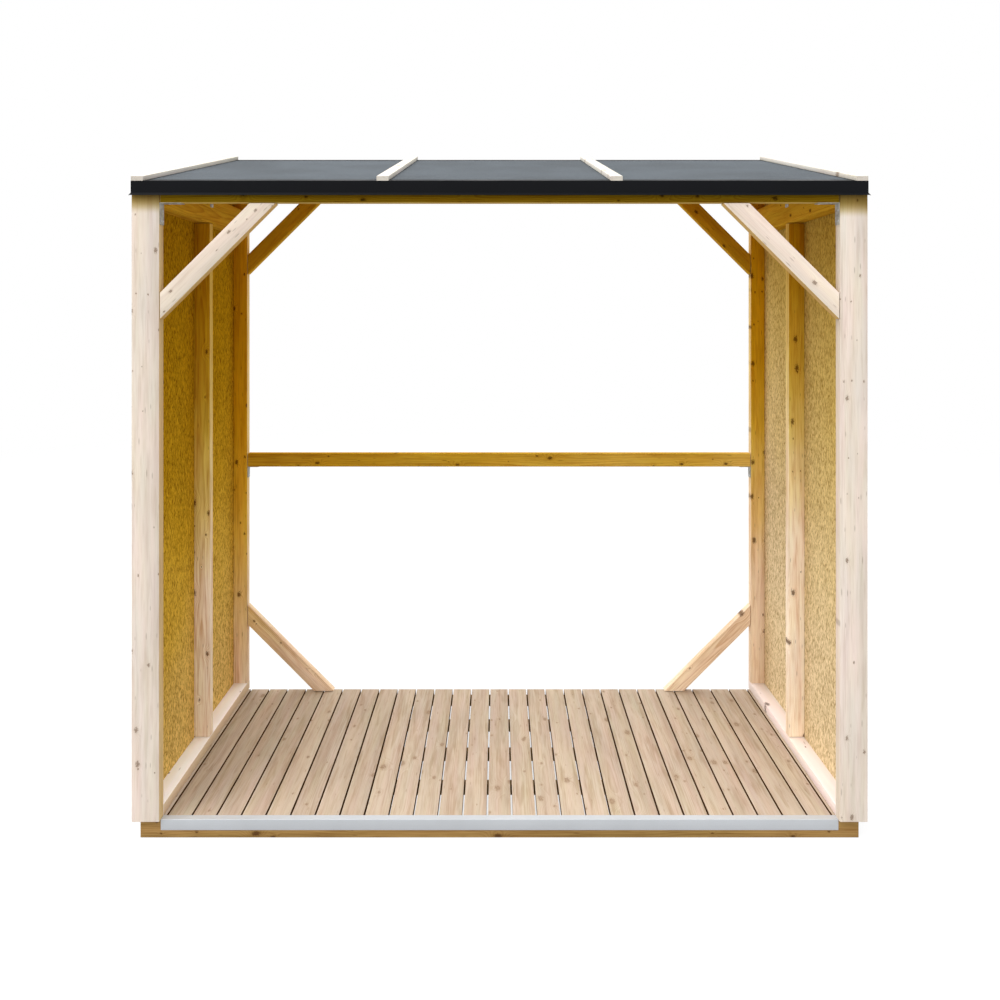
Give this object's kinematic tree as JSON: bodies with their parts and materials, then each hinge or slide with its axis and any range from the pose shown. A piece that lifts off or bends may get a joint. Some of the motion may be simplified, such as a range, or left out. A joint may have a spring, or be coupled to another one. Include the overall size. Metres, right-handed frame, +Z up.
{
  "type": "open log store",
  "caption": "Open timber log store with a slatted deck, two closed side walls, braced open front and back, and a pent felt roof with battens and dark edge trims.",
  "frame": {"origin": "on the ground, under the middle of the store's overall box", "axes": "+Z up; -Y towards the open, lower front; +X to the right seen from the front"},
  "size_m": [2.977, 1.258, 2.9819],
  "materials": {
    "deck_wood": "planed, untreated boards with knots",
    "base_wood": "pressure-treated, brown",
    "post_wood": "planed spruce, pale",
    "frame_wood": "planed spruce",
    "wall_sheet": "strand board, raw",
    "cladding_wood": "planed vertical boards",
    "roof_wood": "boards, raw underside",
    "batten_wood": "sawn, weathered pale",
    "felt": "mineral-surfaced roofing felt, grey",
    "trim_metal": "satin black",
    "sill_metal": "mill finish",
    "bracket_metal": "galvanised"
  },
  "bodies": {
    "root": {"deck_boards": "deck_wood", "front_rim": "base_wood", "joist_1": "base_wood", "joist_2": "base_wood", "joist_3": "base_wood", "joist_4": "base_wood", "joist_5": "base_wood", "left_front_post": "post_wood", "right_front_post": "post_wood", "left_front_brace": "post_wood", "right_front_brace": "post_wood", "left_sole_plate": "frame_wood", "left_mid_stud": "frame_wood", "left_back_post": "frame_wood", "left_side_beam": "frame_wood", "right_sole_plate": "frame_wood", "right_mid_stud": "frame_wood", "right_back_post": "frame_wood", "right_side_beam": "frame_wood", "front_header": "frame_wood", "back_header": "frame_wood", "back_rail": "frame_wood", "mid_purlin": "frame_wood", "left_upper_back_brace": "frame_wood", "right_upper_back_brace": "frame_wood", "left_lower_back_brace": "frame_wood", "right_lower_back_brace": "frame_wood", "left_wall_sheet": "wall_sheet", "right_wall_sheet": "wall_sheet", "left_cladding": "cladding_wood", "right_cladding": "cladding_wood", "roof_boards": "roof_wood", "left_edge_batten": "batten_wood", "right_edge_batten": "batten_wood", "left_inner_batten": "batten_wood", "right_inner_batten": "batten_wood", "roof_felt": "felt", "front_edge_trim": "trim_metal", "back_edge_trim": "trim_metal", "left_edge_trim": "trim_metal", "right_edge_trim": "trim_metal", "sill_strip": "sill_metal", "front_brackets": "bracket_metal", "rail_brackets": "bracket_metal", "purlin_brackets": "bracket_metal"}
  },
  "joints": []
}
